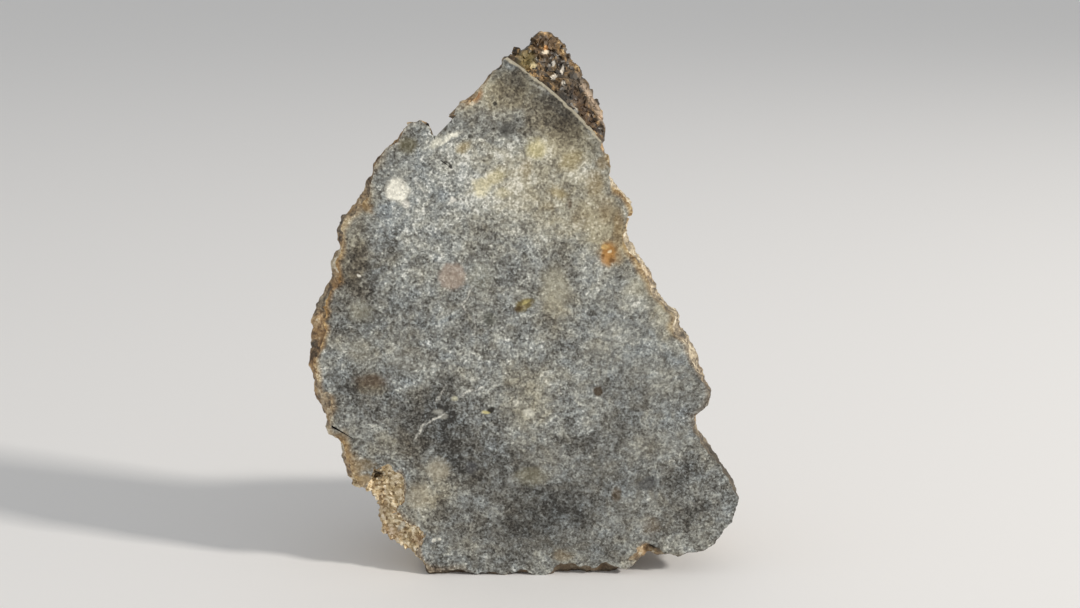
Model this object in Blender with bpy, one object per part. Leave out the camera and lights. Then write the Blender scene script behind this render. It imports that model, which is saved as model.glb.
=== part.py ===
"""
Sawn end piece of a eucrite, a stony meteorite, as one solid.

Frame: metres, +Z up. The origin is the middle of the small flat that the stone rests on. The sawn face looks
along -Y, and +X is to the right for someone who looks at that face. The shapes below are worked out in
millimetres from the sawn plane, with depth counted from it towards the back, and are turned into the frame last.
"""

import math
import random

import bmesh
import bpy
from mathutils import Vector, noise
from mathutils.geometry import delaunay_2d_cdt

MM = 0.001

# Driving sizes, in millimetres
FOOT_DEPTH = 19.0          # from the sawn face to the deepest part of the back, low down
SLAB_DEPTH = 9.2           # and to the back of the thinner upper half
REST_BEHIND_FACE = 5.2     # from the sawn plane back to the middle of the flat it rests on
OUTLINE_STEP = 0.8         # length of one edge along the outline
BACK_STEP = 1.15           # distance between points on the back
FRONT_STEP = 0.7           # distance between points on the break, the run-out, the scoop and the pits
CLEARANCE = 0.32           # points inside a surface keep at least this far from its edge and its lines
LOOSENING = 0.2            # how far the points stray from an even grid, as a share of their distance

# The widest outline, met a few millimetres behind the sawn face, anticlockwise as seen from the front. Each
# point is x across from the middle of the rest, z up from it, and how far the sawn edge lies inside that
# outline: the width of the natural rim that shows beside the cut.
OUTLINE = {
    "left shoulder": [
        (-11.7, 48.9, 0.2), (-12.5, 47.7, 0.2), (-13.3, 46.7, 0.2), (-14.2, 45.9, 0.2), (-15.0, 44.9, 0.3),
        (-15.7, 43.7, 0.4), (-15.9, 42.7, 0.5),
    ],
    "left edge": [
        (-16.6, 41.4, 0.7), (-17.8, 40.0, 0.7), (-18.8, 39.1, 0.6), (-19.3, 37.4, 0.6), (-19.4, 35.5, 0.7),
        (-19.8, 34.6, 0.9), (-20.3, 32.1, 1.2), (-21.4, 30.1, 1.1), (-22.3, 28.6, 1.5), (-22.3, 26.6, 1.8),
        (-22.7, 23.9, 0.9),
    ],
    "left corner": [
        (-22.2, 21.9, 0.6), (-21.9, 19.5, 1.6), (-21.2, 17.6, 0.9), (-20.8, 15.9, 0.5), (-19.9, 15.0, 0.4),
        (-19.7, 13.1, 1.1), (-19.0, 10.8, 0.9), (-18.3, 9.9, 0.5),
    ],
    "notch": [
        (-17.1, 9.9, 0.0), (-16.2, 8.8, 0.0), (-15.6, 7.4, 0.0), (-15.6, 5.6, 0.0), (-14.8, 4.0, 0.0),
        (-13.5, 3.1, 0.0), (-11.9, 2.6, 0.0),
    ],
    "foot": [
        (-11.2, 2.1, 0.0), (-10.2, 0.5, 0.0), (-9.0, 0.5, 0.0), (-7.5, 0.8, 0.0), (-5.6, 0.6, 0.0),
        (-3.6, 0.2, 0.0), (-2.2, 0.1, 0.0), (-1.0, 0.7, 0.0), (0.5, 0.5, 0.0), (2.1, 0.1, 0.0), (3.5, 1.2, 0.0),
        (5.0, 1.5, 0.0), (7.3, 1.0, 0.0), (8.8, 1.5, 0.0), (10.4, 0.9, 0.0), (11.7, 1.2, 0.0), (12.8, 2.2, 0.1),
    ],
    "right lobe": [
        (14.1, 2.2, 0.1), (16.7, 2.2, 0.1), (18.8, 2.7, 0.1), (20.2, 3.5, 0.1), (21.7, 5.2, 0.2),
        (22.7, 7.6, 0.2), (22.8, 9.1, 0.2), (21.6, 10.9, 0.3), (21.0, 12.1, 0.3), (19.4, 13.6, 0.4),
        (18.3, 15.7, 0.5), (18.2, 18.0, 0.5),
    ],
    "right edge": [
        (19.2, 18.9, 0.3), (19.5, 20.4, 0.3), (18.4, 22.3, 0.4), (17.8, 24.6, 0.5), (17.3, 25.9, 0.5),
        (16.2, 27.0, 0.6), (15.9, 28.8, 0.8), (14.5, 30.1, 0.6), (13.5, 31.9, 0.5), (12.4, 34.2, 0.5),
        (11.0, 35.9, 0.5), (10.3, 37.0, 0.4), (10.4, 38.6, 0.3),
    ],
    "right shoulder": [
        (11.1, 39.6, 0.4), (10.8, 40.8, 0.4), (9.8, 41.9, 0.4), (8.6, 43.3, 0.4), (8.8, 44.8, 0.6),
        (7.8, 46.1, 0.4),
    ],
    "right end of the lip": [(7.8, 47.3, 0.3)],
    "peak": [
        (7.9, 48.3, 0.6), (8.0, 49.6, 0.9), (6.8, 51.5, 0.6), (6.0, 53.3, 0.4), (4.8, 55.0, 0.3),
        (3.8, 56.5, 0.3), (2.1, 57.7, 0.2), (0.9, 57.1, 0.1), (0.5, 55.9, 0.1), (-1.1, 55.6, 0.1),
    ],
    "left end of the lip": [(-2.0, 54.9, 0.0)],
    "left slope": [
        (-2.2, 54.3, 0.1), (-3.2, 53.9, 0.1), (-3.8, 52.7, 0.2), (-5.1, 51.4, 0.6), (-6.3, 50.7, 0.3),
        (-7.3, 49.7, 0.2), (-8.4, 48.6, 0.2), (-9.2, 47.7, 0.2), (-9.7, 48.5, 0.1), (-10.6, 48.9, 0.1),
    ],
}
MIDDLE = Vector((0.0, 27.0))   # every point of the outline can be seen from here

# Run-out of the saw cut, its raised lip, and the broken stone beyond it at the top right
LIP_RISE = 1.0             # how far the lip stands in front of the sawn plane
RUN_OUT = 3.3              # length over which the cut rises to the lip
RUN_OUT_CURVE = 1.6        # 1 is a straight rise, and more is a rise that starts gently
STEP_BEHIND_LIP = 0.4      # drop from the lip to the break
STEP_WIDTH = 0.7
BREAK_FALL = 0.85          # the break falls back this much for each millimetre beyond the lip
CRYSTAL_HEIGHT = 0.6       # relief of the crystal faces on the break
CRYSTAL_WIDTH = 1.6
CRYSTAL_LEAN = 1.6

# The broken scoop behind the notch at the lower left: the sawn face ends on this line
SCOOP_EDGE = [
    (-16.6, 11.6), (-15.9, 12.6), (-14.9, 12.9), (-13.8, 12.3), (-12.9, 11.0), (-12.7, 9.4), (-13.2, 7.6),
    (-12.9, 6.4), (-11.5, 5.8), (-10.6, 5.0), (-10.5, 3.6),
]
SCOOP_DEPTH = 1.6
SCOOP_REACH = 7.5          # distance from the edge at which the scoop is nearly at its depth
SCOOP_UNEVENNESS = 0.35

# Pits that break the front at the scoop and at the foot: x, z, radius and depth
PITS = [
    (-16.0, 11.2, 0.95, 1.7),
    (13.1, 2.9, 0.8, 0.9),
]

# The back is two blunt pyramids of worn facets that run into each other: a thick foot, and the slab above it.
# Each facet falls away in one direction: the angle of that direction from +X towards +Z, the distance from the
# pyramid's middle at which the facet starts, and its fall for each millimetre.
FOOT_MIDDLE = Vector((4.0, 12.0))
FOOT_FACETS = [
    (93.0, 5.0, 0.72),
    (135.0, 9.0, 0.60),
    (180.0, 9.0, 0.55),
    (220.0, 10.0, 0.60),
    (268.0, 3.5, 0.85),
    (320.0, 8.0, 0.50),
    (5.0, 9.0, 0.50),
    (50.0, 9.0, 0.55),
]
SLAB_MIDDLE = Vector((-1.0, 30.0))
SLAB_FACETS = [
    (95.0, 6.0, 0.07),
    (160.0, 6.0, 0.30),
    (12.0, 6.5, 0.85),
]
FACET_ROUNDING = 0.55      # softness of the edges between facets
FORM_ROUNDING = 0.8        # softness of the valley between the foot and the slab

# Broad shallow hollows worn into the back: x, z, radius and depth
HOLLOWS = [
    (-8.5, 29.0, 6.5, 1.1),
    (6.5, 32.0, 5.0, 0.8),
    (10.0, 13.0, 6.0, 1.0),
    (-5.0, 9.0, 5.0, 0.8),
    (-4.0, 44.0, 4.5, 0.7),
    (-15.5, 20.0, 4.0, 0.7),
    (17.0, 8.0, 3.0, 0.5),
]

# A fracture ledge that crosses the back: a point on it, and its direction from +X towards +Z
LEDGE_POINT = Vector((1.0, 24.0))
LEDGE_DIRECTION = 24.0
LEDGE_HEIGHT = 0.9
LEDGE_WIDTH = 1.3
LEDGE_WANDER = 1.2         # how far it strays from a straight line

# Worn relief over the natural surface: large lumps, and dimples that meet in ridges
LUMP_HEIGHT = 0.6
LUMP_LENGTH = 8.0
DIMPLE_DEPTH = 0.75
DIMPLE_LENGTH = 5.2
DIMPLE_SLOPE = 0.6         # share of that length over which a dimple falls from its ridge
WEAR_LENGTH = 13.0         # the dimples come and go over this distance
WEAR_MIDDLE = 0.65         # share of their depth that they have on average
WEAR_RANGE = 0.9

# The natural wall between the front edge and the back. Each ring is: its share of the local thickness, the
# share of the rim that it has gained, how far it has drawn in as a share of the thickness, how often it is
# smoothed, its share of the relief, and its share of the bulge below.
WALL_RINGS = [
    (0.06, 0.62, 0.000, 0, 0.00, 0.45),
    (0.14, 1.00, 0.000, 1, 0.10, 0.90),
    (0.24, 1.00, 0.015, 4, 0.60, 1.00),
    (0.36, 1.00, 0.040, 9, 1.00, 1.00),
    (0.50, 1.00, 0.080, 16, 1.00, 1.00),
    (0.63, 1.00, 0.130, 24, 1.00, 1.00),
    (0.76, 1.00, 0.190, 34, 1.00, 0.90),
    (0.88, 1.00, 0.270, 46, 1.00, 0.55),
]
EDGE_ROUNDING = 2.5        # the drawing in goes by the thickness this far inside the outline
HEIGHT_PASSES = 20         # how often that thickness is smoothed
LEAST_THICKNESS = 2.6      # along the thinnest part of the edge, at the peak
RING_GAP = 0.25            # each ring lies at least this much further back than the one before it
SHOULDER_DROP = 0.9        # the back is rounded down by this much where it meets the wall
SHOULDER_WIDTH = 1.2

# The underside bulges down behind the sawn edge, and the bulge is worn flat where the stone rests
BULGE_LEFT = -9.8
BULGE_RIGHT = 9.4
BULGE_FADE = 2.4
BULGE_TOP = 6.0            # it starts at this height
BULGE_FULL = 1.8           # and is complete at this one
BULGE_BELOW = 0.55         # how far it would reach below the floor if it were not worn flat

STONE_GREY = (0.235, 0.225, 0.205, 1.0)   # linear colour of the sawn grey stone
STONE_ROUGHNESS = 0.75


def remove_everything():
    for old in list(bpy.data.objects):
        bpy.data.objects.remove(old, do_unlink=True)


def ease(share):
    """Goes smoothly from 0 to 1."""
    share = min(1.0, max(0.0, share))
    return share * share * (3.0 - 2.0 * share)


def heading(angle):
    """Unit direction in the plane of the face, from +X towards +Z."""
    return Vector((math.cos(math.radians(angle)), math.sin(math.radians(angle))))


def curve_point(before, start, end, after, t):
    """A point on the smooth curve that passes through every outline point."""
    return tuple(
        0.5 * (2.0 * b + (c - a) * t + (2.0 * a - 5.0 * b + 4.0 * c - d) * t ** 2
               + (3.0 * b - a - 3.0 * c + d) * t ** 3)
        for a, b, c, d in zip(before, start, end, after)
    )


def follow_outline():
    """Follows the outline in even steps, and numbers the first step of every stretch."""
    knots = [(name, point) for name, stretch in OUTLINE.items() for point in stretch]
    widest = []
    rims = []
    first = {}
    for index, (name, start) in enumerate(knots):
        before = knots[index - 1][1]
        end = knots[(index + 1) % len(knots)][1]
        after = knots[(index + 2) % len(knots)][1]
        first.setdefault(name, len(widest))
        steps = max(1, round(math.hypot(end[0] - start[0], end[1] - start[1]) / OUTLINE_STEP))
        for step in range(steps):
            x, z, rim = curve_point(before, start, end, after, step / steps)
            widest.append(Vector((x, z)))
            rims.append(max(0.0, rim))
    return widest, rims, first


def inward(point, distance):
    """Moves a point of the outline towards the middle."""
    return point + (MIDDLE - point).normalized() * distance


def nearer_middle(one, other):
    """The one of two points that lies nearer the middle."""
    return min(one, other, key=lambda point: (point - MIDDLE).length)


def distance_to_line(point, line):
    """Shortest distance from a point to a chain of straight pieces."""
    best = math.inf
    for start, end in zip(line, line[1:]):
        along = end - start
        share = min(1.0, max(0.0, (point - start).dot(along) / along.length_squared))
        best = min(best, (start + along * share - point).length)
    return best


def inside(point, loop):
    """True where a closed loop goes round the point."""
    within = False
    for start, end in zip(loop, loop[1:] + loop[:1]):
        if (start.y > point.y) == (end.y > point.y):
            continue
        crossing = start.x + (point.y - start.y) * (end.x - start.x) / (end.y - start.y)
        if point.x < crossing:
            within = not within
    return within


def smoothed(ring, passes):
    """Averages each value of a closed ring with its neighbours, several times over."""
    for _ in range(passes):
        ring = [
            ring[index - 1] * 0.25 + ring[index] * 0.5 + ring[(index + 1) % len(ring)] * 0.25
            for index in range(len(ring))
        ]
    return ring


def crystal_faces(point):
    """Flat-faced grain: each scattered crystal has its own height and lean."""
    place = Vector((point.x / CRYSTAL_WIDTH, point.y / CRYSTAL_WIDTH, 0.37))
    _, centres = noise.voronoi(place)
    centre = centres[0]
    lean = noise.noise_vector(centre * 3.1)
    offset = place - centre
    return CRYSTAL_HEIGHT * (noise.noise(centre * 5.7) + CRYSTAL_LEAN * (lean.x * offset.x + lean.y * offset.y))


class Front:
    """Depth of the front at any place: sawn plane, run-out, lip, break, scoop and pits."""

    def __init__(self, edge, first):
        self.lip_start = edge[first["left end of the lip"]]
        self.lip_end = edge[first["right end of the lip"]]
        along = (self.lip_end - self.lip_start).normalized()
        self.beyond = Vector((-along.y, along.x))
        scoop = [Vector(point) for point in SCOOP_EDGE]
        self.scoop_line = [edge[first["notch"]]] + scoop + [edge[first["foot"]]]
        self.scoop_loop = edge[first["notch"]:first["foot"] + 1] + scoop[::-1]

    def past_lip(self, point):
        """How far a point lies beyond the lip, towards the peak."""
        return (point - self.lip_start).dot(self.beyond)

    def is_shaped(self, point):
        """True where the front isn't simply the flat sawn plane."""
        near_pit = any((point - Vector((x, z))).length < radius * 1.2 for x, z, radius, _ in PITS)
        return self.past_lip(point) > -RUN_OUT or inside(point, self.scoop_loop) or near_pit

    def is_clear(self, point):
        """True where a point keeps clear of the lip and of the scoop's edge."""
        return abs(self.past_lip(point)) > CLEARANCE and distance_to_line(point, self.scoop_line) > CLEARANCE

    def depth(self, point):
        past = self.past_lip(point)
        if past > 0.0:
            drop = STEP_BEHIND_LIP * ease(past / STEP_WIDTH)
            return BREAK_FALL * past + drop + crystal_faces(point) * ease(past) - LIP_RISE
        if past > -RUN_OUT:
            return -LIP_RISE * (1.0 + past / RUN_OUT) ** RUN_OUT_CURVE
        depth = 0.0
        if inside(point, self.scoop_loop):
            reach = distance_to_line(point, self.scoop_line) / SCOOP_REACH
            uneven = SCOOP_UNEVENNESS * noise.noise(Vector((point.x, point.y, 4.0)))
            depth = SCOOP_DEPTH * (1.0 - math.exp(-2.2 * reach)) + uneven * ease(reach * 2.0)
        for x, z, radius, pit_depth in PITS:
            share = (point - Vector((x, z))).length / radius
            depth += pit_depth * max(0.0, 1.0 - share * share)
        return depth


def largest(values, rounding):
    """The largest value, with a soft change from one to the next."""
    return rounding * math.log(sum(math.exp(value / rounding) for value in values))


def pyramid(point, middle, height, facets):
    """Depth of a blunt pyramid of facets."""
    falls = [fall * ((point - middle).dot(heading(angle)) - start) for angle, start, fall in facets]
    return height - largest([0.0] + falls, FACET_ROUNDING)


def back_depth(point):
    """Depth of the back at any place: foot and slab, shallow hollows and one fracture ledge."""
    foot = pyramid(point, FOOT_MIDDLE, FOOT_DEPTH, FOOT_FACETS)
    slab = pyramid(point, SLAB_MIDDLE, SLAB_DEPTH, SLAB_FACETS)
    depth = largest([foot, slab], FORM_ROUNDING)
    for x, z, radius, hollow_depth in HOLLOWS:
        depth -= hollow_depth * (1.0 - ease((point - Vector((x, z))).length / radius))
    wander = LEDGE_WANDER * noise.noise(Vector((point.x * 0.2, point.y * 0.2, 9.0)))
    beyond = (point - LEDGE_POINT).dot(heading(LEDGE_DIRECTION + 90.0)) + wander
    return depth - LEDGE_HEIGHT * ease(beyond / LEDGE_WIDTH + 0.5)


def relief(place):
    """Worn relief of the natural surface at a place in space, in millimetres: it mostly cuts inwards."""
    lump = LUMP_HEIGHT * noise.noise(place / LUMP_LENGTH)
    distances, _ = noise.voronoi(place / DIMPLE_LENGTH + Vector((0.4, 0.1, 0.8)))
    from_ridge = distances[1] - distances[0]
    how_worn = WEAR_MIDDLE + WEAR_RANGE * noise.noise(place / WEAR_LENGTH + Vector((3.0, 8.0, 1.0)))
    return lump - DIMPLE_DEPTH * how_worn * ease(from_ridge / DIMPLE_SLOPE)


def bulged_down(place, share):
    """Bulges the underside down past the floor, where it is worn flat afterwards."""
    across = ease((place.x - BULGE_LEFT) / BULGE_FADE + 1.0) * ease((BULGE_RIGHT - place.x) / BULGE_FADE + 1.0)
    up = ease((BULGE_TOP - place.z) / (BULGE_TOP - BULGE_FULL))
    place.z += (-BULGE_BELOW - place.z) * share * across * up
    return place


def scattered(step, loop, wanted):
    """Points on a loosened triangular grid inside a loop, clear of its edge, where they are wanted."""
    chance = random.Random(5)
    margin = max(CLEARANCE, 0.5 * step)
    closed = loop + loop[:1]
    low_x = min(point.x for point in loop)
    low_z = min(point.y for point in loop)
    columns = math.ceil((max(point.x for point in loop) - low_x) / step)
    row_height = step * math.sqrt(0.75)
    rows = math.ceil((max(point.y for point in loop) - low_z) / row_height)
    points = []
    for row in range(rows):
        for column in range(columns):
            x = low_x + step * (column + 0.5 * (row % 2) + chance.uniform(-LOOSENING, LOOSENING))
            z = low_z + row_height * row + step * chance.uniform(-LOOSENING, LOOSENING)
            point = Vector((x, z))
            if inside(point, loop) and wanted(point) and distance_to_line(point, closed) > margin:
                points.append(point)
    return points


def triangles_inside(loop, extra_points, lines):
    """Triangles that fill a closed loop and use the extra points. Lines join points by their numbers."""
    coordinates = loop + extra_points
    edges = [(a, b) for line in lines for a, b in zip(line, line[1:])]
    places, _, faces, sources, _, _ = delaunay_2d_cdt(coordinates, edges, [list(range(len(loop)))], 1, 1e-5)
    if len(places) != len(coordinates):
        raise ValueError("the outline crosses itself or one of its lines")
    return [[sources[corner][0] for corner in face] for face in faces]


def add_point(mesh, x, depth, z):
    """Adds a point to the mesh, in the part's frame and in metres."""
    return mesh.verts.new(Vector((x, depth - REST_BEHIND_FACE, z)) * MM)


def add_front(mesh, edge, first, front):
    """The sawn face, the lip, the break, the scoop and the pits. The flat part needs no points of its own."""
    left, right = first["left end of the lip"], first["right end of the lip"]
    steps = round((front.lip_end - front.lip_start).length / OUTLINE_STEP)
    lip = [front.lip_start.lerp(front.lip_end, step / steps) for step in range(1, steps)]
    scoop = front.scoop_line[1:-1]
    shaped = [point for point in scattered(FRONT_STEP, edge, front.is_shaped) if front.is_clear(point)]

    lip_line = [left] + [len(edge) + index for index in range(len(lip))] + [right]
    scoop_start = len(edge) + len(lip)
    scoop_line = [first["notch"]] + [scoop_start + index for index in range(len(scoop))] + [first["foot"]]

    depths = [front.depth(point) for point in edge]
    depths[left] = depths[right] = -LIP_RISE
    depths[first["notch"]] = depths[first["foot"]] = 0.0
    inner_depths = [-LIP_RISE] * len(lip) + [0.0] * len(scoop) + [front.depth(point) for point in shaped]

    inner = lip + scoop + shaped
    vertices = [add_point(mesh, point.x, depth, point.y)
                for point, depth in zip(edge + inner, depths + inner_depths)]
    for face in triangles_inside(edge, inner, [lip_line, scoop_line]):
        mesh.faces.new([vertices[number] for number in face])
    return vertices[:len(edge)], depths


def add_wall(mesh, widest, rims, edge_vertices, front_depths):
    """The natural wall: rings of faces from the front edge to the back."""
    previous = edge_vertices
    depths = list(front_depths)
    for ring_share, rim_share, drawn_in, passes, relief_share, bulge_share in WALL_RINGS:
        limit = [inward(point, rim * (1.0 - rim_share)) for point, rim in zip(widest, rims)]
        heights = smoothed([back_depth(inward(point, EDGE_ROUNDING)) for point in limit], HEIGHT_PASSES)
        ring = [nearer_middle(inward(point, drawn_in * height), furthest)
                for point, height, furthest in zip(smoothed(limit, passes), heights, limit)]
        ring = smoothed(ring, passes // 6)
        loop = []
        current = []
        for index, (point, start) in enumerate(zip(ring, smoothed(front_depths, passes))):
            thickness = max(LEAST_THICKNESS, back_depth(point) - start)
            depths[index] = max(start + ring_share * thickness, depths[index] + RING_GAP)
            place = Vector((point.x, depths[index], point.y))
            outward = (point - MIDDLE).normalized() * relief(place) * relief_share
            place = bulged_down(place + Vector((outward.x, 0.0, outward.y)), bulge_share)
            loop.append(Vector((place.x, place.z)))
            current.append(add_point(mesh, *place))
        for index in range(len(ring)):
            after = (index + 1) % len(ring)
            mesh.faces.new((previous[index], previous[after], current[after], current[index]))
        previous = current
    return previous, loop


def add_back(mesh, loop, loop_vertices, front):
    """The domed back, inside the last ring of the wall."""
    points = scattered(BACK_STEP, loop, lambda point: True)
    closed = loop + loop[:1]
    vertices = list(loop_vertices)
    for point in points:
        depth = max(back_depth(point), front.depth(point) + LEAST_THICKNESS)
        depth -= SHOULDER_DROP * math.exp(-distance_to_line(point, closed) / SHOULDER_WIDTH)
        vertices.append(add_point(mesh, point.x, depth + relief(Vector((point.x, depth, point.y))), point.y))
    for face in triangles_inside(loop, points, []):
        mesh.faces.new([vertices[number] for number in reversed(face)])


def wear_flat(mesh):
    """Takes the foot off level at the floor and closes it with one flat face."""
    everything = list(mesh.verts) + list(mesh.edges) + list(mesh.faces)
    cut = bmesh.ops.bisect_plane(
        mesh, geom=everything, dist=0.00002, plane_co=(0.0, 0.0, 0.0), plane_no=(0.0, 0.0, -1.0),
        clear_outer=True)
    rim = [item for item in cut["geom_cut"] if isinstance(item, bmesh.types.BMEdge)]
    bmesh.ops.holes_fill(mesh, edges=rim, sides=0)


def stone_material():
    material = bpy.data.materials.new("eucrite stone")
    material.use_nodes = True
    shader = material.node_tree.nodes["Principled BSDF"]
    shader.inputs["Base Color"].default_value = STONE_GREY
    shader.inputs["Roughness"].default_value = STONE_ROUGHNESS
    shader.inputs["Metallic"].default_value = 0.0
    material.diffuse_color = STONE_GREY
    return material


def make_meteorite():
    widest, rims, first = follow_outline()
    edge = [inward(point, rim) for point, rim in zip(widest, rims)]
    front = Front(edge, first)
    mesh = bmesh.new()
    edge_vertices, front_depths = add_front(mesh, edge, first, front)
    last_vertices, last_loop = add_wall(mesh, widest, rims, edge_vertices, front_depths)
    add_back(mesh, last_loop, last_vertices, front)
    wear_flat(mesh)
    bmesh.ops.recalc_face_normals(mesh, faces=mesh.faces)
    data = bpy.data.meshes.new("meteorite")
    mesh.to_mesh(data)
    mesh.free()
    data.materials.append(stone_material())
    stone = bpy.data.objects.new("meteorite", data)
    bpy.context.scene.collection.objects.link(stone)


remove_everything()
make_meteorite()
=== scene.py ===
"""
The looks of the eucrite end piece: one stone, sawn and lapped flat in front, with a weathered outside, a
broken scoop at the lower left, and crystalline broken stone beyond the lip at the top right.

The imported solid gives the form. A copy of it is grown forward past the saw cut, roughened as weathered stone
is, set with crystals where it is broken, and sawn again, so that the edge of the cut is as crisp and as
ragged as on the real piece.
"""

import math
import random

import bmesh
import bpy
from mathutils import Euler, Matrix, Vector


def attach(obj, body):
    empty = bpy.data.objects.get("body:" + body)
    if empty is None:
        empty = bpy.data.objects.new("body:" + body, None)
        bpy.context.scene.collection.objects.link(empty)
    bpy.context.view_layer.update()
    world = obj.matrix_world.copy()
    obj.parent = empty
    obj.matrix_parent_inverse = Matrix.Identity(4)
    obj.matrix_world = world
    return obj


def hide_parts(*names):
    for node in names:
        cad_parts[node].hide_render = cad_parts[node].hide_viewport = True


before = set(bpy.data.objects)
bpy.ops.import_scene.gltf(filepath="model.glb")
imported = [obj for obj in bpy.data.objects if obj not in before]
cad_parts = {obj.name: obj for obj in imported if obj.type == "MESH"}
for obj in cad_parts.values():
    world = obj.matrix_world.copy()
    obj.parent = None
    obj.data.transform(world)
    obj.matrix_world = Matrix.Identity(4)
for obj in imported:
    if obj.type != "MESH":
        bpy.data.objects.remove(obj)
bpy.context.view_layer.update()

MM = 0.001

# Where the saw went, in millimetres. The sawn face looks along -Y.
SAWN_PLANE = -5.2
LIP_LEFT = Vector((-1.7, 55.3))  # the ends of the lip, across and up
LIP_RIGHT = Vector((7.65, 47.2))
LIP_BULGE = 0.42                 # how far it curves beyond the straight line between them
LIP_RISE = 1.0                   # how far the lip stands in front of the sawn plane
LIP_HIGHLIGHT_WIDTH = 0.28                  # width of the painted highlight along the lip's edge
RUN_OUT = 3.3                    # length over which the cut rises to the lip
RUN_OUT_CURVE = 1.6              # above 1, it rises slowly at first
RUN_OUT_STEPS = 12               # strips that the rise is drawn with
LIP_STATIONS = 12                # strips along the lip
SAW_REACH = 60.0                 # the saw cut goes this far past the lip's ends, beyond the stone
SAW_REACH_DOWN = 90.0            # and this far from the lip, down past the foot
SAW_REACH_BEYOND = 12.0          # and this far beyond the lip, past the peak
SAW_FRONT = -30.0                # the front of the block that the saw took away
LIP_LENGTH = (LIP_RIGHT - LIP_LEFT).length
LIP_ALONG = (LIP_RIGHT - LIP_LEFT).normalized()
LIP_BEYOND = Vector((-LIP_ALONG.y, LIP_ALONG.x))

# The broken scoop behind the notch at the lower left: the sawn face ends on this line
SCOOP_EDGE = [
    (-16.6, 11.6), (-15.9, 12.6), (-14.9, 12.9), (-13.8, 12.3), (-12.9, 11.0), (-12.7, 9.4), (-13.2, 7.6),
    (-12.9, 6.4), (-11.5, 5.8), (-10.6, 5.0), (-10.5, 3.6),
]
# The loop round the scoop is closed outside the stone
SCOOP_LOOP = [(-21.0, 9.6), (-18.0, 11.4)] + SCOOP_EDGE + [(-10.6, 1.0), (-21.0, 1.0)]
SCOOP_BACK = 1.5  # where the scoop ends towards the back

# Cracks that open the sawn face, from the edge inwards: both ends (x, z), width at the edge and depth
CRACKS = [
    ((-20.4, 16.8), (-18.0, 15.3), 0.34, 4.0),
    ((-9.5, 48.9), (-9.05, 47.0), 0.5, 1.2),
    ((-8.5, 44.9), (-7.2, 44.0), 0.16, 1.0),
]

# Nicks broken through the whole slab: the open end, the foot and the width of each. The first lies between
# the horn and the peak, the second under the right shoulder.
NICKS = [
    ((-8.45, 49.9), (-9.15, 47.45), 3.3),
    ((12.6, 38.5), (10.5, 39.15), 1.3),
]
NICK_DEPTH = 30.0      # more than the stone's depth
FALL_BEHIND = 0.27     # how far a nick falls for each millimetre towards the back
WEDGE_TIP = 0.15       # width of a crack or nick at its foot, as a share of its open end
CRACK_MARGIN = 0.1     # its painted shade reaches this far past its foot
CRACK_NARROWING = 0.3  # width of a crack at its full depth, as a share of that in front

# Single grains that jut out of the edge of the cut: the place, the size, and the turns about the three axes
JUTTING_GRAINS = [
    ((-11.4, -5.1, 48.5), 0.7, (0.0, -28.0, 20.0)),
    ((-0.6, -5.0, 55.5), 0.7, (20.0, 15.0, 40.0)),
]

# Crystals of the broken surfaces. A crust is given by the least distance between its crystals, the range of
# their lengths, and the seed that its chances start from.
BREAK_CRUST = (0.40, (0.4, 0.85), 11)
SCOOP_CRUST = (0.36, (0.3, 0.6), 12)
CRYSTAL_MODELS = 7
CRYSTAL_THICK = (0.55, 0.9)  # thickness and width, as shares of the length
CRYSTAL_WIDE = (0.65, 1.0)
CORNERS_BROKEN = 3
CORNER_LEFT = (0.3, 0.42)    # distance from the middle at which a corner breaks off
JOINING_BLOCK = 0.5          # a small block that the crystals of a crust are first joined with
CRYSTAL_LEAN = 38.0          # how far one may lean from the surface's normal, in degrees
CRYSTAL_SUNK = 0.36          # share of its length by which its middle lies under the surface

# How the copy is grown before it is roughened and cut again
GROWN_FORWARD = 2.2
GROWN_DOWN = 1.0
MESH_GRAIN = 0.25  # distance between points on the natural surface
MERGED = 0.002     # points of the solid that lie nearer than this are one
ON_PLANE = 0.001   # a face this near to a plane lies on it

# The natural surface is rougher near the cut: fully in front of the first depth, and not behind the second
ROUGH_FROM = -2.5
ROUGH_TO = 0.5

# What counts as made by the saw: how near the face lies to the cut, and how squarely it looks forward
SAWN_FLAT = (0.005, -0.9995)
SAWN_RUN_OUT = (0.03, -0.88)
SAWN_PAST_LIP = 0.02
BEHIND_CUT = 0.05   # what lies this far behind the sawn plane isn't sawn
SHARP_ANGLE = 38.0  # edges sharper than this, in degrees, aren't smoothed

# The broken stone beyond the lip
BREAK_FROM = -0.3           # its finish starts this far beyond the lip
BREAK_CRYSTALS_FROM = 0.15  # its crystals start this far beyond the lip
BREAK_BACK = 0.5            # its finish ends at this depth, towards the back

# Crystals sit on faces that look forward at least as squarely as this
BREAK_FORWARD = -0.55
SCOOP_FORWARD = -0.2

# The materials of the stone, by their place in its list; the last one is painted shade in the cracks
WEATHERED, SAWN, BROKEN, CRUSTED, CRACK_SHADE = range(5)


def ease(share):
    """Goes smoothly from 0 to 1."""
    share = min(1.0, max(0.0, share))
    return share * share * (3.0 - 2.0 * share)


def lip_bulge(along):
    """How far the lip lies beyond the line between its ends, by the distance from its left end."""
    share = min(1.0, max(0.0, along / LIP_LENGTH))
    return LIP_BULGE * 4.0 * share * (1.0 - share)


def past_lip(x, z):
    """How far a place lies beyond the lip, towards the peak, in millimetres."""
    from_left = Vector((x, z)) - LIP_LEFT
    return from_left.dot(LIP_BEYOND) - lip_bulge(from_left.dot(LIP_ALONG))


def inside(x, z, loop):
    """True where a closed loop goes round a place."""
    within = False
    for (x0, z0), (x1, z1) in zip(loop, loop[1:] + loop[:1]):
        if (z0 > z) != (z1 > z) and x < x0 + (z - z0) * (x1 - x0) / (z1 - z0):
            within = not within
    return within


def in_scoop(place):
    """True on the broken surface of the scoop, which lies behind the sawn plane."""
    return SAWN_PLANE + BEHIND_CUT < place.y < SCOOP_BACK and inside(place.x, place.z, SCOOP_LOOP)


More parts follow.
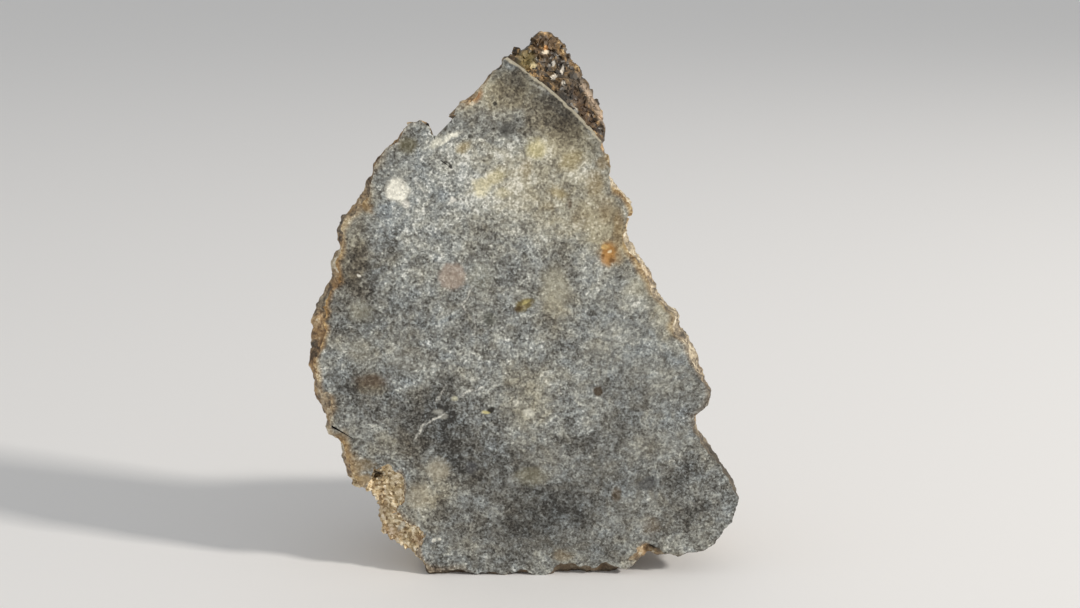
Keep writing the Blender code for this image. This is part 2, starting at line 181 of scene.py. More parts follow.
def only(piece):
    """Makes a piece the only selected one, and the active one."""
    bpy.ops.object.select_all(action="DESELECT")
    piece.select_set(True)
    bpy.context.view_layer.objects.active = piece


def apply_modifier(piece, kind, **settings):
    """Adds a modifier with its settings and applies it."""
    only(piece)
    modifier = piece.modifiers.new(kind.lower(), kind)
    for name, value in settings.items():
        setattr(modifier, name, value)
    bpy.ops.object.modifier_apply(modifier=modifier.name)


def edit_faces(piece, wanted):
    """Goes to edit mode with only the wanted faces selected, by their middle in mm and their normal."""
    only(piece)
    bpy.ops.object.mode_set(mode="EDIT")
    bpy.ops.mesh.select_mode(type="FACE")
    bpy.ops.mesh.select_all(action="DESELECT")
    bpy.ops.object.mode_set(mode="OBJECT")
    for face in piece.data.polygons:
        face.select = wanted(face.center / MM, face.normal)
    bpy.ops.object.mode_set(mode="EDIT")


def grown_block():
    """A copy of the solid, grown in front of the saw cut and below the flat, and remeshed finely."""
    only(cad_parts["meteorite"])
    bpy.ops.object.duplicate()
    stone = bpy.context.active_object
    stone.name = "stone"
    stone.parent = None
    stone.data.materials.clear()
    only(stone)
    bpy.ops.object.mode_set(mode="EDIT")
    bpy.ops.mesh.select_all(action="SELECT")
    bpy.ops.mesh.remove_doubles(threshold=MERGED * MM)
    bpy.ops.object.mode_set(mode="OBJECT")

    edit_faces(stone, lambda middle, normal: (middle.y < SAWN_PLANE + ON_PLANE
                                              and past_lip(middle.x, middle.z) < 0.0))
    bpy.ops.mesh.extrude_region_move()
    grown_front = (0.0, (SAWN_PLANE - GROWN_FORWARD) * MM, 0.0)
    bpy.ops.transform.resize(value=(1.0, 0.0, 1.0), center_override=grown_front)
    bpy.ops.object.mode_set(mode="OBJECT")

    edit_faces(stone, lambda middle, normal: middle.z < ON_PLANE and normal.z < -0.9)
    bpy.ops.mesh.extrude_region_move(TRANSFORM_OT_translate={"value": (0.0, 0.0, -GROWN_DOWN * MM)})
    bpy.ops.object.mode_set(mode="OBJECT")
    apply_modifier(stone, "REMESH", mode="VOXEL", voxel_size=MESH_GRAIN * MM, adaptivity=0.0)
    return stone


def mask(piece, name, weight):
    """A vertex group whose weights come from each point's place, in millimetres."""
    group = piece.vertex_groups.new(name=name)
    for point in piece.data.vertices:
        share = weight(point.co / MM)
        if share > 0.0:
            group.add([point.index], share, "REPLACE")
    return name


def roughen(piece, kind, size, height, mask_name="", **settings):
    """Moves the surface in and out with a texture. Its size and height are in millimetres."""
    texture = bpy.data.textures.new(kind.lower(), kind)
    texture.noise_scale = size * MM
    for name, value in settings.items():
        setattr(texture, name, value)
    apply_modifier(piece, "DISPLACE", texture=texture, strength=height * MM, mid_level=0.5,
                   vertex_group=mask_name)


def weather(stone):
    """Lumps, pits and grain of the natural surface."""
    roughen(stone, "CLOUDS", size=3.2, height=0.55, noise_depth=2)
    roughen(stone, "VORONOI", size=1.5, height=0.45, distance_metric="DISTANCE", noise_intensity=1.0)
    roughen(stone, "CLOUDS", size=0.55, height=0.3, noise_depth=1)
    depth = ROUGH_TO - ROUGH_FROM
    edge = mask(stone, "near the cut", lambda place: 1.0 - ease((place.y - ROUGH_FROM) / depth))
    roughen(stone, "CLOUDS", size=1.3, height=0.75, mask_name=edge, noise_depth=3)


def saw_cut():
    """What the saw and the lap took away: a block whose back follows the sawn plane and the run-out."""
    bpy.ops.mesh.primitive_plane_add(size=2.0, location=(0.0, 0.0, 0.0))
    cut = bpy.context.active_object
    cut.name = "saw cut"
    stations = [LIP_LENGTH * step / LIP_STATIONS for step in range(LIP_STATIONS + 1)]
    stations = [-SAW_REACH] + stations + [SAW_REACH]
    profile = [(-SAW_REACH_DOWN, 0.0)]
    for step in range(RUN_OUT_STEPS + 1):
        past = -RUN_OUT + RUN_OUT * step / RUN_OUT_STEPS
        profile.append((past, -LIP_RISE * (1.0 + past / RUN_OUT) ** RUN_OUT_CURVE))
    end_slope = LIP_RISE * RUN_OUT_CURVE / RUN_OUT
    profile.append((SAW_REACH_BEYOND, -LIP_RISE - SAW_REACH_BEYOND * end_slope))

    mesh = bmesh.new()
    rows = []
    for past, rise in profile:
        row = []
        for along in stations:
            across = LIP_LEFT + LIP_ALONG * along + LIP_BEYOND * (past + lip_bulge(along))
            row.append(mesh.verts.new(Vector((across.x, SAWN_PLANE + rise, across.y)) * MM))
        rows.append(row)
    for row, next_row in zip(rows, rows[1:]):
        for column in range(len(stations) - 1):
            mesh.faces.new((row[column], next_row[column], next_row[column + 1], row[column + 1]))
    grown = bmesh.ops.extrude_face_region(mesh, geom=list(mesh.faces))
    for item in grown["geom"]:
        if isinstance(item, bmesh.types.BMVert):
            item.co.y = SAW_FRONT * MM
    bmesh.ops.recalc_face_normals(mesh, faces=mesh.faces)
    mesh.to_mesh(cut.data)
    mesh.free()
    return cut


def take_away(piece, cutter):
    """Cuts one piece's shape out of another, and removes the cutter."""
    apply_modifier(piece, "BOOLEAN", operation="DIFFERENCE", object=cutter, solver="MANIFOLD")
    bpy.data.objects.remove(cutter, do_unlink=True)


def grow_together(piece, addition, solver="MANIFOLD", **settings):
    """Joins one piece's shape to another, and removes the addition."""
    apply_modifier(piece, "BOOLEAN", operation="UNION", object=addition, solver=solver, **settings)
    bpy.data.objects.remove(addition, do_unlink=True)


def spread(piece, wanted, gap, dice):
    """Picks points of a surface at random, no two of them nearer than the gap in millimetres."""
    candidates = [point for point in piece.data.vertices if wanted(point.co / MM, point.normal)]
    dice.shuffle(candidates)
    kept = []
    taken = {}
    for point in candidates:
        place = point.co / MM
        cell = tuple(math.floor(value / gap) for value in place)
        near = (
            other
            for across in (-1, 0, 1) for deep in (-1, 0, 1) for up in (-1, 0, 1)
            for other in taken.get((cell[0] + across, cell[1] + deep, cell[2] + up), ())
        )
        if any((other - place).length < gap for other in near):
            continue
        taken.setdefault(cell, []).append(place)
        kept.append((place, point.normal.copy()))
    return kept


def crystal_model(name, dice):
    """A blocky crystal with flat faces, 1 m long for now: a bar with some of its corners broken off."""
    bpy.ops.mesh.primitive_cube_add(size=1.0, location=(0.0, 0.0, 0.0))
    model = bpy.context.active_object
    model.name = name
    bpy.ops.object.mode_set(mode="EDIT")
    bpy.ops.mesh.select_all(action="SELECT")
    bpy.ops.transform.resize(value=(dice.uniform(*CRYSTAL_THICK), dice.uniform(*CRYSTAL_WIDE), 1.0))
    for _ in range(CORNERS_BROKEN):
        bpy.ops.mesh.select_all(action="SELECT")
        away = Vector((dice.uniform(-1, 1), dice.uniform(-1, 1), dice.uniform(-1, 1))).normalized()
        bpy.ops.mesh.bisect(plane_co=away * dice.uniform(*CORNER_LEFT), plane_no=away, use_fill=True,
                            clear_outer=True)
    bpy.ops.object.mode_set(mode="OBJECT")
    return model


def jutting_grain(place, size, turn):
    """One crystal, at a place in millimetres, turned by degrees."""
    grain = crystal_model("jutting grain", random.Random(round(size * 100)))
    turned = Euler([math.radians(angle) for angle in turn]).to_quaternion()
    grain.data.transform(Matrix.LocRotScale(Vector(place) * MM, turned, Vector((size, size, size)) * MM))
    return grain


def crust(stone, name, wanted, gap, sizes, seed):
    """Crystals strewn over part of the surface, half sunk in it, and grown together with the stone."""
    dice = random.Random(seed)
    models = [crystal_model(name, dice) for _ in range(CRYSTAL_MODELS)]
    crystals = []
    for place, normal in spread(stone, wanted, gap, dice):
        model = dice.choice(models)
        copy = model.copy()
        copy.data = model.data.copy()
        size = dice.uniform(*sizes)
        lean = [math.radians(dice.uniform(-CRYSTAL_LEAN, CRYSTAL_LEAN)) for _ in range(2)]
        turn = normal.to_track_quat("Z", "X") @ Euler(lean + [dice.uniform(0.0, math.tau)]).to_quaternion()
        sunk = place - normal * size * CRYSTAL_SUNK
        copy.data.transform(Matrix.LocRotScale(sunk * MM, turn, Vector((size, size, size)) * MM))
        bpy.context.scene.collection.objects.link(copy)
        crystals.append(copy)
    for model in models:
        bpy.data.objects.remove(model, do_unlink=True)
    only(crystals[0])
    for crystal in crystals:
        crystal.select_set(True)
    bpy.ops.object.join()
    whole = crystals[0]
    bpy.ops.mesh.primitive_cube_add(size=JOINING_BLOCK * MM, location=place * MM)
    grow_together(whole, bpy.context.active_object, solver="EXACT", use_self=True)
    grow_together(stone, whole)


def wedge(name, start, end, width, depth, narrowing, fall=0.0):
    """A wedge that opens a crack in the sawn face, from one place (x, z) to another, in millimetres.

    It narrows to a share of its width with depth, and can fall towards the back.
    """
    run = Vector(end) - Vector(start)
    middle = (Vector(start) + Vector(end)) / 2.0
    bpy.ops.mesh.primitive_cube_add(size=1.0, location=(0.0, 0.0, 0.0))
    cutter = bpy.context.active_object
    cutter.name = name
    for point in cutter.data.vertices:
        along, deep, across = point.co
        narrow = WEDGE_TIP if along > 0.0 else 1.0
        narrow *= narrowing if deep > 0.0 else 1.0
        point.co = (along * run.length, deep * depth, across * width * narrow)
    place = Vector((middle.x, SAWN_PLANE, middle.y))
    turn = Euler((0.0, -math.atan2(run.y, run.x), 0.0)).to_matrix().to_4x4()
    slope = Matrix.Identity(4)
    slope[2][1] = -fall
    cutter.data.transform(Matrix.Scale(MM, 4) @ Matrix.Translation(place) @ slope @ turn)
    return cutter


def on_saw_cut(place, normal):
    """True where a face was made by the saw, by its middle in millimetres and its normal."""
    past = past_lip(place.x, place.z)
    if past > SAWN_PAST_LIP:
        return False
    if past < -RUN_OUT:
        rise = 0.0
        nearness, squareness = SAWN_FLAT
    else:
        rise = LIP_RISE * (1.0 + past / RUN_OUT) ** RUN_OUT_CURVE
        nearness, squareness = SAWN_RUN_OUT
    return abs(place.y - SAWN_PLANE + rise) < nearness and normal.y < squareness


def shade(stone):
    """Smooth shading with sharp edges, and always sharp round the saw cut."""
    only(stone)
    bpy.ops.object.shade_smooth_by_angle(angle=math.radians(SHARP_ANGLE))
    sawn = [on_saw_cut(face.center / MM, face.normal) for face in stone.data.polygons]
    sides = {}
    for face in stone.data.polygons:
        for key in face.edge_keys:
            sides.setdefault(key, set()).add(sawn[face.index])
    for edge in stone.data.edges:
        if len(sides.get(edge.key, ())) == 2:
            edge.use_edge_sharp = True


def linear(shade_of):
    """An sRGB hex colour as linear values."""
    channels = [int(shade_of[start:start + 2], 16) / 255.0 for start in (1, 3, 5)]
    channels = [value / 12.92 if value <= 0.04045 else ((value + 0.055) / 1.055) ** 2.4 for value in channels]
    return channels + [1.0]


class Finish:
    """A material, and what its nodes are built up with."""

    def __init__(self, name):
        self.material = bpy.data.materials.new(name)
        self.material.use_nodes = True
        self.tree = self.material.node_tree
        self.shader = self.tree.nodes["Principled BSDF"]
        self.stretched = {}
        object_place = self.add("TexCoord", {}, pick="Object")
        self.place = self.add("VectorMath", {"Vector": object_place, "Scale": 1.0 / MM}, operation="SCALE")

    def add(self, kind, inputs, pick=None, stops=(), **settings):
        """Adds a node with its settings and inputs, each a value or a link, by name or in order.

        The order for a map range is the value, from what range, and to what range. The stops of a ramp are
        places with a hex colour, or with a share from 0 to 1.
        """
        made = self.tree.nodes.new("ShaderNode" + kind)
        for name, value in settings.items():
            setattr(made, name, value)
        sockets = [socket for socket in made.inputs if socket.enabled]
        if isinstance(inputs, dict):
            pairs = [(next(socket for socket in sockets if socket.name == name), value)
                     for name, value in inputs.items()]
        else:
            pairs = list(zip(sockets, inputs))
        for socket, value in pairs:
            if isinstance(value, bpy.types.NodeSocket):
                self.tree.links.new(value, socket)
            elif isinstance(value, str):
                socket.default_value = linear(value)
            else:
                socket.default_value = value
        if stops:
            points = made.color_ramp.elements
            while len(points) < len(stops):
                points.new(1.0)
            for point, (position, shade_of) in zip(points, stops):
                point.position = position
                point.color = linear(shade_of) if isinstance(shade_of, str) else [shade_of] * 3 + [1.0]
        if pick:
            return made.outputs[pick]
        return next(socket for socket in made.outputs if socket.enabled)


def warped(finish, size, reach):
    """Places shifted by up to about the reach, with a pattern of that size, both in mm: for ragged edges."""
    shift = finish.add("TexNoise", {"Vector": finish.place, "Scale": 1.0 / size, "Detail": 3.0,
                                    "Roughness": 0.6}, pick="Color")
    centred = finish.add("VectorMath", [shift, (0.5, 0.5, 0.5)], operation="SUBTRACT")
    return finish.add("VectorMath", [centred, (reach * 2.0,) * 3, finish.place], operation="MULTIPLY_ADD")


def patch(finish, place, spot, edge):
    """1 inside an oval on the sawn face, fading to 0 over its edge. The oval is x, z, width, height, turn.

    Ovals of about the same form and turn share one stretched space, in which each of them is round.
    """
    x, z, wide, high, turn = spot
    if wide < high:
        wide, high, turn = high, wide, turn + 90.0
    stretch = min(STRETCHES, key=lambda kind: abs(math.log(kind * high / wide)))
    turn = round(turn / TURN_STEP) * TURN_STEP % 180.0 if stretch > 1.0 else 0.0
    rotation = Euler((0.0, math.radians(-turn), 0.0))
    scale = Vector((math.sqrt(stretch), FLATTENED, 1.0 / math.sqrt(stretch)))
    key = (place.node.name, stretch, turn)
    if key not in finish.stretched:
        finish.stretched[key] = finish.add("Mapping", {"Vector": place, "Rotation": rotation,
                                                       "Scale": scale}, vector_type="TEXTURE")
    middle = rotation.to_matrix().inverted() @ Vector((x, 0.0, z))
    middle = [value / share for value, share in zip(middle, scale)]
    distance = finish.add("VectorMath", [finish.stretched[key], middle], pick="Value", operation="DISTANCE")
    radius = math.sqrt(wide * high) / 2.0
    return finish.add("MapRange", [distance, radius * (1.0 - edge), radius * (1.0 + edge), 1.0, 0.0],
                      interpolation_type="SMOOTHSTEP")


def add_ovals(finish, value, place, ovals, edge):
    """Adds soft ovals to a running value, each by its own amount."""
    for *spot, amount in ovals:
        oval = patch(finish, place, spot, edge)
        value = finish.add("Math", [oval, amount, value], operation="MULTIPLY_ADD")
    return value


def swell(finish, value, amount, start):
    """Adds a pattern, centred on its middle, to a running value."""
    centred = finish.add("Math", [value, 0.5], operation="SUBTRACT")
    return finish.add("Math", [centred, amount, start], operation="MULTIPLY_ADD")


# Sizes of the grains and patches that the materials draw, in millimetres. The matrix of a eucrite has grains
# of 0.05 to 0.3 mm; the finest are drawn as 0.21 mm, two pixels, because finer ones wouldn't show.
COARSE_GRAIN = 0.5
FINE_GRAIN = 0.21
WEATHERED_LUMP = 4.5
WEATHERED_GRAIN = 0.7
WEATHERED_CRYSTAL = 0.45
RUST_PATCH = 2.8
BREAK_GRAIN = 0.5
SCOOP_GRAIN = 0.34

# Forms that the ovals below are drawn with
STRETCHES = (1.0, 1.6, 2.6, 5.0, 9.0)  # length of an oval for its width
TURN_STEP = 30.0
FLATTENED = 1000.0                     # markings don't change with depth

# Broad tones of the sawn face: x, z, width, height, turn, and how much lighter than the middle grey
TONES_AND_LIP_SHADE = [
    (1.6, 43.0, 17.0, 11.0, -15, 0.17),
    (-10.7, 39.0, 9.0, 13.0, -20, 0.16),
    (11.5, 29.0, 7.0, 18.0, 25, 0.13),
    (0.0, 22.0, 6.0, 12.0, -8, 0.11),
    (-9.4, 11.9, 2.8, 4.0, 10, 0.2),
    (-11.2, 8.6, 3.0, 2.6, 0, 0.16),
    (-4.0, 42.3, 2.8, 2.4, 0, 0.12),
    (1.4, 46.0, 2.4, 2.4, 0, 0.12),
    (-16.5, 34.0, 4.0, 8.0, -10, -0.16),
    (-14.0, 28.5, 9.0, 6.0, 0, -0.07),
    (-16.8, 20.5, 6.0, 6.0, 0, -0.16),
    (-9.5, 17.0, 9.0, 7.5, -20, -0.28),
    (-5.0, 12.0, 7.0, 6.0, 0, -0.11),
    (3.7, 6.9, 11.0, 6.5, 0, -0.15),
    (0.0, 8.5, 17.0, 15.0, 0, -0.1),
    (16.5, 8.5, 8.0, 8.0, 0, -0.12),
    # The next two darker ovals are painted shade below the lip, where the cut rises to it and turns from the
    # lamp
    (3.4, 49.2, 7.5, 4.2, -42, -0.21),
    (-0.7, 52.4, 3.0, 3.0, 0, -0.13),
    (-4.0, 51.6, 4.0, 4.0, 0, 0.1),
]
MIDDLE_TONE = 0.475
TONE_EDGE = 0.55  # how soft the ovals' edges are, as a share of their radius

# Where it is warmer or cooler, in the same order
WARMTHS = [
    (3.5, 42.0, 14.0, 11.0, -30, 0.5),
    (-17.5, 34.8, 3.0, 8.0, -10, 0.55),
    (-16.3, 41.0, 2.0, 4.0, 0, 0.6),
    (9.2, 36.5, 3.5, 6.0, 20, 0.5),
    (14.8, 28.6, 3.5, 6.0, 25, 0.4),
    (3.4, 49.0, 8.0, 5.0, -42, 0.5),
    (-0.7, 52.6, 4.5, 3.5, 30, 0.45),
    (-4.0, 51.6, 5.0, 5.0, 0, 0.5),
    (-10.0, 14.0, 9.0, 8.0, 0, -0.2),
    (3.0, 7.0, 9.0, 6.0, 0, -0.15),
    (-16.0, 21.8, 3.4, 1.8, 0, 0.5),
    (-13.2, 14.6, 6.0, 3.0, 0, 0.45),
    (-10.5, 10.0, 5.0, 7.0, 10, 0.45),
    (3.1, 30.5, 4.0, 7.0, 10, 0.25),
    (0.0, 20.0, 4.5, 8.0, -8, 0.35),
]

MIDDLE_WARMTH = 0.30
WARMTH_EDGE = 0.6

# Where its grains differ less from each other
CONTRASTS = [
    (13.5, 24.0, 12.0, 24.0, 0, -0.26),
    (4.0, 7.5, 22.0, 12.0, 0, -0.28),
]

# Clasts and spots, with painted shade in small holes and one painted glint: x, z, width, height, turn,
# softness of the edge, strength and colour
CLASTS_AND_PAINTED_LIGHT = [
    (-12.9, 41.9, 2.2, 2.5, 15, 0.32, 0.95, "#f6f4e8"),
    (-12.1, 40.5, 0.9, 0.8, 0, 0.4, 0.7, "#eeebe2"),
    (-8.9, 46.7, 1.7, 0.6, 30, 0.7, 0.7, "#f2f0e0"),
    (-7.5, 47.3, 1.9, 0.5, 30, 0.6, 0.9, "#faf8ea"),
    (-11.8, 46.5, 1.7, 1.8, 0, 0.5, 0.7, "#6c664c"),
    (-4.4, 42.1, 1.7, 1.9, 20, 0.4, 0.75, "#ddd5b2"),
    (-3.0, 43.2, 2.2, 1.3, 35, 0.5, 0.5, "#cbbd88"),
    (-2.2, 41.6, 1.6, 1.1, 0, 0.6, 0.4, "#cfc59c"),
    (1.2, 46.1, 2.2, 1.8, 0, 0.5, 0.6, "#d2c68e"),
    (-6.2, 46.2, 1.5, 0.9, 30, 0.6, 0.4, "#c4ad72"),
    (4.6, 44.8, 2.6, 1.6, 30, 0.6, 0.45, "#a3915c"),
    (7.2, 42.4, 1.8, 2.6, 0, 0.7, 0.55, "#8f7a4d"),
    (3.4, 41.6, 2.0, 1.4, 150, 0.6, 0.5, "#b3a06c"),
    (8.2, 39.8, 1.4, 2.4, 0, 0.7, 0.5, "#86704a"),
    (5.8, 39.0, 2.4, 2.0, 0, 0.7, 0.35, "#8b7b5c"),
    (0.2, 44.0, 1.2, 1.6, 0, 0.6, 0.45, "#95835a"),
    (2.4, 40.2, 1.3, 1.0, 0, 0.7, 0.4, "#8a7a58"),
    (-7.3, 40.9, 0.6, 0.7, 0, 0.4, 0.85, "#f0eee6"),
    (-7.5, 32.9, 2.6, 3.0, -30, 0.25, 0.6, "#b5a293"),
    (-0.1, 29.9, 2.3, 1.2, 30, 0.3, 0.85, "#786b3f"),
    (-0.7, 29.5, 0.9, 0.6, 30, 0.5, 0.8, "#4a381e"),
    (0.1, 30.2, 0.9, 0.35, 30, 0.5, 0.7, "#bdb176"),
    (-3.7, 28.4, 1.5, 1.4, 0, 0.4, 0.75, "#51524b"),
    (3.1, 31.6, 2.8, 4.4, 0, 0.5, 0.5, "#b6b19c"),
    (8.8, 35.4, 2.3, 2.5, 0, 0.6, 0.55, "#a07c48"),
    (8.5, 35.3, 1.5, 1.9, 0, 0.5, 0.75, "#b5803c"),
    (8.2, 36.0, 0.8, 0.5, 0, 0.4, 0.8, "#dcb878"),
    (8.9, 34.7, 0.6, 0.5, 0, 0.4, 0.75, "#5f4020"),
    (8.7, 35.5, 0.3, 0.3, 0, 0.4, 0.8, "#f0dfba"),
    (8.0, 35.1, 0.4, 0.3, 0, 0.4, 0.7, "#7d5527"),
    (7.6, 20.6, 1.2, 1.1, 0, 0.35, 0.9, "#453726"),
    (9.7, 9.2, 1.1, 1.5, 0, 0.5, 0.7, "#5b4b36"),
    (9.6, 9.0, 0.4, 0.6, 0, 0.5, 0.8, "#3a2f20"),
    (13.3, 5.5, 2.2, 1.9, 0, 0.6, 0.45, "#75644d"),
    (-16.0, 21.8, 3.4, 1.3, 10, 0.6, 0.7, "#574636"),
    (12.9, 10.5, 2.4, 1.5, 30, 0.4, 0.75, "#494a4c"),
    (-1.7, 48.1, 1.6, 1.4, 0, 0.4, 0.75, "#4f4e4a"),
    (-5.7, 12.2, 1.2, 1.4, 0, 0.5, 0.5, "#4d4e53"),
    (-3.6, 18.6, 0.9, 0.7, 30, 0.35, 0.95, "#25211a"),
    (-4.2, 18.3, 0.8, 0.35, 0, 0.5, 0.85, "#d3c98f"),
    (-9.2, 18.4, 0.9, 0.7, 0, 0.6, 0.55, "#c4c3ba"),
    (-8.6, 17.9, 0.8, 0.6, 0, 0.6, 0.5, "#c0bfb6"),
    (-7.4, 19.8, 0.7, 0.5, 0, 0.5, 0.7, "#cfccb2"),
    (-9.2, 12.0, 2.1, 2.6, 0, 0.4, 0.55, "#ada48f"),
    (-11.3, 9.0, 3.0, 2.4, 30, 0.5, 0.48, "#aba18b"),
    # The next five near-black specks are small holes in the sawn face: their dark is painted shade
    (-1.2, 55.2, 0.35, 0.3, 0, 0.4, 0.9, "#241f1a"),
    (-3.0, 54.2, 0.35, 0.3, 0, 0.4, 0.9, "#29241f"),
    (-2.9, 50.6, 0.45, 0.4, 0, 0.4, 0.9, "#241f1a"),
    (-0.7, 49.0, 0.35, 0.35, 0, 0.4, 0.85, "#2a2620"),
    (-15.4, 9.6, 0.6, 0.5, 0, 0.4, 0.9, "#2e261c"),
    (0.4, 18.2, 1.1, 0.9, 0, 0.5, 0.75, "#d6d4c8"),
    (-0.9, 19.4, 0.6, 0.6, 0, 0.5, 0.6, "#cfcdc2"),
    (8.6, 21.9, 0.5, 0.4, 0, 0.4, 0.6, "#3c3934"),
    (3.9, 25.6, 0.5, 0.4, 0, 0.4, 0.75, "#35342f"),
    (12.0, 31.8, 2.6, 3.0, 0, 0.6, 0.3, "#b0aa90"),
    (-17.1, 25.0, 2.4, 2.8, 0, 0.6, 0.3, "#a09b8a"),
    (-12.6, 24.2, 3.0, 2.6, 0, 0.6, 0.28, "#a8a59a"),
    (-4.6, 33.0, 2.6, 2.6, 0, 0.6, 0.3, "#a5a28e"),
    (0.6, 11.2, 3.0, 2.0, 0, 0.5, 0.45, "#959079"),
    (4.6, 40.4, 0.6, 0.9, 0, 0.5, 0.7, "#5a4630"),
    (-17.0, 29.2, 2.0, 2.0, 0, 0.5, 0.35, "#a39f8a"),
    (-16.3, 40.7, 1.1, 2.6, 15, 0.5, 0.7, "#8d7148"),
    (7.9, 44.7, 1.4, 1.3, 0, 0.5, 0.55, "#9c8455"),
    (9.6, 38.3, 1.3, 2.8, 10, 0.5, 0.5, "#94794c"),
    (-5.1, 51.3, 1.6, 1.1, 40, 0.5, 0.8, "#a5713f"),
    (-4.8, 51.5, 0.6, 0.5, 0, 0.4, 0.85, "#63301f"),
    # A painted highlight: a white glint on the red-brown spot
    (-5.3, 50.7, 0.5, 0.4, 0, 0.4, 0.8, "#efe6cf"),
    (-19.3, 14.4, 1.6, 3.4, 10, 0.5, 0.75, "#8a7455"),
    (-18.3, 12.0, 2.2, 3.2, 0, 0.5, 0.5, "#9a8058"),
    (-16.9, 12.4, 2.0, 1.4, 0, 0.5, 0.4, "#9d8863"),
    (-17.2, 10.8, 1.8, 1.2, 0, 0.5, 0.8, "#a48d68"),
    (-17.1, 33.0, 0.4, 0.4, 0, 0.3, 0.9, "#e9e6dc"),
    (4.0, 2.2, 2.2, 1.1, 0, 0.5, 0.5, "#7d6a4a"),
    # The next three near-black specks are painted shade too: a small hole, and two along the crack there
    (-5.5, 47.3, 0.5, 0.5, 0, 0.4, 0.8, "#2c2722"),
    (-8.0, 44.7, 0.45, 0.4, 0, 0.4, 0.9, "#26231f"),
    (-7.5, 44.3, 0.4, 0.4, 0, 0.4, 0.9, "#26231f"),
    (-9.8, 4.0, 0.5, 0.5, 0, 0.4, 0.8, "#eceadf"),
    (-9.2, 4.1, 0.45, 0.4, 0, 0.4, 0.8, "#eceadf"),
]

# White veins and scratches: x and z of both ends, width, and strength
VEINS = [
    (-12.0, 15.4, -10.2, 17.3, 0.2, 0.8),
    (-9.3, 19.1, -8.5, 21.5, 0.2, 0.65),
    (-6.7, 20.2, -5.6, 20.7, 0.3, 0.95),
    (-5.3, 20.8, -4.4, 21.1, 0.26, 0.95),
    (-10.3, 17.2, -8.6, 18.0, 0.26, 0.8),
    (-5.7, 31.7, -6.2, 29.9, 0.22, 0.6),
    (-6.6, 30.1, -6.0, 29.3, 0.22, 0.6),
    (-5.3, 28.4, -5.1, 26.6, 0.18, 0.45),
    (-10.9, 42.9, -10.4, 41.6, 0.2, 0.6),
    (0.6, 53.0, 2.6, 51.3, 0.18, 0.45),
]
VEIN_COLOUR = "#e6e5dd"
VEIN_EDGE = 0.6
SMALL_CLAST = 1.6  # millimetres; smaller ones have less ragged outlines

# The weathering rind: how strongly the sawn face is stained near its edge, by the direction from the middle,
# which goes round from the left over the bottom, the right and the top, in whole turns
RIND_MIDDLE = Vector((0.0, 27.0))
RIND_FULL = 0.1    # nearer to the edge than this, the stain is full
RIND_WIDTH = 1.0   # and it fades out this far in from the edge
RIND_RAGGED = 0.4  # how much it follows the wide shifts of places
RIND_STRENGTH = [
    (0.0, 0.85), (0.05, 0.55), (0.11, 0.35), (0.19, 0.35), (0.22, 0.0), (0.31, 0.0), (0.33, 0.35),
    (0.35, 0.0), (0.39, 0.0), (0.43, 0.15), (0.47, 0.3), (0.54, 0.45), (0.61, 0.8), (0.65, 0.7),
    (0.68, 0.8), (0.695, 0.0), (0.76, 0.0), (0.785, 0.35), (0.8, 0.0), (0.85, 0.15), (0.885, 0.3),
    (0.92, 0.5), (0.96, 0.9), (1.0, 0.85),
]
RIND_ANGLES = 180
FARTHEST = 40.0    # more than the distance from that middle to any place on the edge


def edge_of_cut(stone):
    """Distance of the cut's edge from the rind's middle, in even steps of direction all the way round."""
    farthest = [0.0] * RIND_ANGLES
    for face in stone.data.polygons:
        if not on_saw_cut(face.center / MM, face.normal):
            continue
        for index in face.vertices:
            place = stone.data.vertices[index].co / MM
            from_middle = Vector((place.x, place.z)) - RIND_MIDDLE
            turns = math.atan2(from_middle.y, from_middle.x) / math.tau + 0.5
            step = int(turns * RIND_ANGLES) % RIND_ANGLES
            farthest[step] = max(farthest[step], from_middle.length)
    for step in range(RIND_ANGLES):
        if farthest[step] == 0.0:
            farthest[step] = farthest[step - 1]
    return farthest


def rind(finish, place, radii):
    """How strongly the rind stains the sawn face: most at its edge, and by the side it lies on."""
    flat = finish.add("VectorMath", [place, (1.0, 0.0, 1.0), (-RIND_MIDDLE.x, 0.0, -RIND_MIDDLE.y)],
                      operation="MULTIPLY_ADD")
    distance = finish.add("VectorMath", [flat], pick="Value", operation="LENGTH")
    parts = finish.add("SeparateXYZ", [flat], pick="X").node
    direction = finish.add("Math", [parts.outputs["Z"], parts.outputs["X"]], operation="ARCTAN2")
    turns = finish.add("Math", [direction, 1.0 / math.tau, 0.5], operation="MULTIPLY_ADD")
    edge = finish.add("FloatCurve", {"Value": turns})
    mapping = edge.node.mapping
    curve = mapping.curves[0]
    radii = [radii[-1]] + radii + [radii[0]]
    for step, radius in enumerate(radii):
        at = min(1.0, max(0.0, (step - 0.5) / RIND_ANGLES))
        if step in (0, len(radii) - 1):
            point = curve.points[0 if step == 0 else -1]
            point.location = (at, radius / FARTHEST)
        else:
            point = curve.points.new(at, radius / FARTHEST)
        point.handle_type = "VECTOR"
    mapping.update()
    edge = finish.add("Math", [edge, FARTHEST], operation="MULTIPLY")
    inward = finish.add("Math", [edge, distance], operation="SUBTRACT")
    near = finish.add("MapRange", [inward, RIND_FULL, RIND_WIDTH, 1.0, 0.0], interpolation_type="SMOOTHSTEP")
    strength = finish.add("ValToRGB", [turns], stops=RIND_STRENGTH)
    return finish.add("Math", [near, strength], operation="MULTIPLY")


